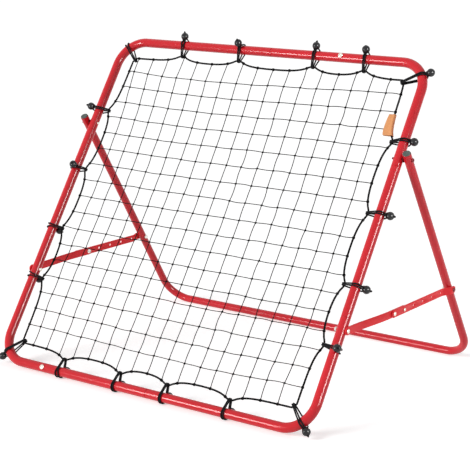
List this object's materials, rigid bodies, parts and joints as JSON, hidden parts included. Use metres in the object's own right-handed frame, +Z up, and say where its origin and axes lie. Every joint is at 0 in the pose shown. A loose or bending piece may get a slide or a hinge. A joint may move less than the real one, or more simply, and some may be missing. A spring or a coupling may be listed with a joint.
{
  "type": "football rebounder",
  "caption": "Square tube frame with a knotted net on a border rope, tied by ball bungees, leaning back on a folding U-shaped stand set by lapped hole bars.",
  "frame": {"origin": "on the floor under the middle of the part", "axes": "+X along the bottom tube to the right as seen from the net's front, +Y from the net to the stand, +Z up"},
  "size_m": [1.0686, 0.8144, 0.8613],
  "materials": {
    "frame_red": "glossy powder coat",
    "bar_red": "semi-gloss powder coat",
    "bright_steel": "bright",
    "zinc_plate": "zinc plated",
    "black_plastic": "matt",
    "grey_plug": "matt",
    "black_twine": "matt twine",
    "black_elastic": "sheathed cord with a glossy ball",
    "orange_tag": "woven ribbon"
  },
  "bodies": {
    "frame": {"border_rope": "black_twine", "bottom_corner_left": "frame_red", "bottom_corner_right": "frame_red", "bottom_screw": "bright_steel", "bungee_bottom_1": "black_elastic", "bungee_bottom_2": "black_elastic", "bungee_bottom_3": "black_elastic", "bungee_bottom_4": "black_elastic", "bungee_bottom_left": "black_elastic", "bungee_bottom_right": "black_elastic", "bungee_left_1": "black_elastic", "bungee_left_2": "black_elastic", "bungee_left_3": "black_elastic", "bungee_left_4": "black_elastic", "bungee_right_1": "black_elastic", "bungee_right_2": "black_elastic", "bungee_right_3": "black_elastic", "bungee_right_4": "black_elastic", "bungee_top_1": "black_elastic", "bungee_top_2": "black_elastic", "bungee_top_3": "black_elastic", "bungee_top_4": "black_elastic", "bungee_top_left": "black_elastic", "bungee_top_right": "black_elastic", "frame_stay_left_bolt": "bright_steel", "frame_stay_left_nut": "zinc_plate", "frame_stay_right_bolt": "bright_steel", "frame_stay_right_nut": "zinc_plate", "net": "black_twine", "pivot_left_bolt": "bright_steel", "pivot_right_bolt": "bright_steel", "pivot_spacer_left": "black_plastic", "pivot_spacer_right": "black_plastic", "side_tube_left": "frame_red", "side_tube_right": "frame_red", "tag": "orange_tag", "top_corner_left": "frame_red", "top_corner_right": "frame_red", "top_screw": "bright_steel"},
    "stand": {"leg_plug_left": "grey_plug", "leg_plug_right": "grey_plug", "leg_stay_left_bolt": "bright_steel", "leg_stay_left_nut": "zinc_plate", "leg_stay_right_bolt": "bright_steel", "leg_stay_right_nut": "zinc_plate", "stand": "frame_red"},
    "lower_bar_left": {"clamp_head_left_1": "bright_steel", "clamp_head_left_2": "bright_steel", "clamp_stud_left_1": "bright_steel", "clamp_stud_left_2": "bright_steel", "lower_bar_left": "bar_red"},
    "upper_bar_left": {"upper_bar_left": "bar_red"},
    "lower_bar_right": {"clamp_head_right_1": "bright_steel", "clamp_head_right_2": "bright_steel", "clamp_stud_right_1": "bright_steel", "clamp_stud_right_2": "bright_steel", "lower_bar_right": "bar_red"},
    "upper_bar_right": {"upper_bar_right": "bar_red"}
  },
  "joints": [
    {"name": "stand_fold", "type": "hinge", "parent": "frame", "child": "stand", "pos_m": [0, 0.00724, 0.60661], "axis": [-1, 0, 0], "range_deg": [0, 28.3]},
    {"name": "lower_bar_left_swing", "type": "hinge", "parent": "frame", "child": "lower_bar_left", "pos_m": [-0.503, -0.24519, 0.23166], "axis": [-1, 0, 0], "range_deg": [0, 14.2]},
    {"name": "upper_bar_left_swing", "type": "hinge", "parent": "stand", "child": "upper_bar_left", "pos_m": [-0.529, 0.25454, 0.22826], "axis": [-1, 0, 0], "range_deg": [-14.2, 0]},
    {"name": "lower_bar_right_swing", "type": "hinge", "parent": "frame", "child": "lower_bar_right", "pos_m": [0.503, -0.24519, 0.23166], "axis": [-1, 0, 0], "range_deg": [0, 14.2]},
    {"name": "upper_bar_right_swing", "type": "hinge", "parent": "stand", "child": "upper_bar_right", "pos_m": [0.529, 0.25454, 0.22826], "axis": [-1, 0, 0], "range_deg": [-14.2, 0]}
  ],
  "couplings": [
    {"joint": "lower_bar_left_swing", "follows": "stand_fold", "ratio": 0.5},
    {"joint": "upper_bar_left_swing", "follows": "stand_fold", "ratio": -0.5},
    {"joint": "lower_bar_right_swing", "follows": "stand_fold", "ratio": 0.5},
    {"joint": "upper_bar_right_swing", "follows": "stand_fold", "ratio": -0.5}
  ]
}
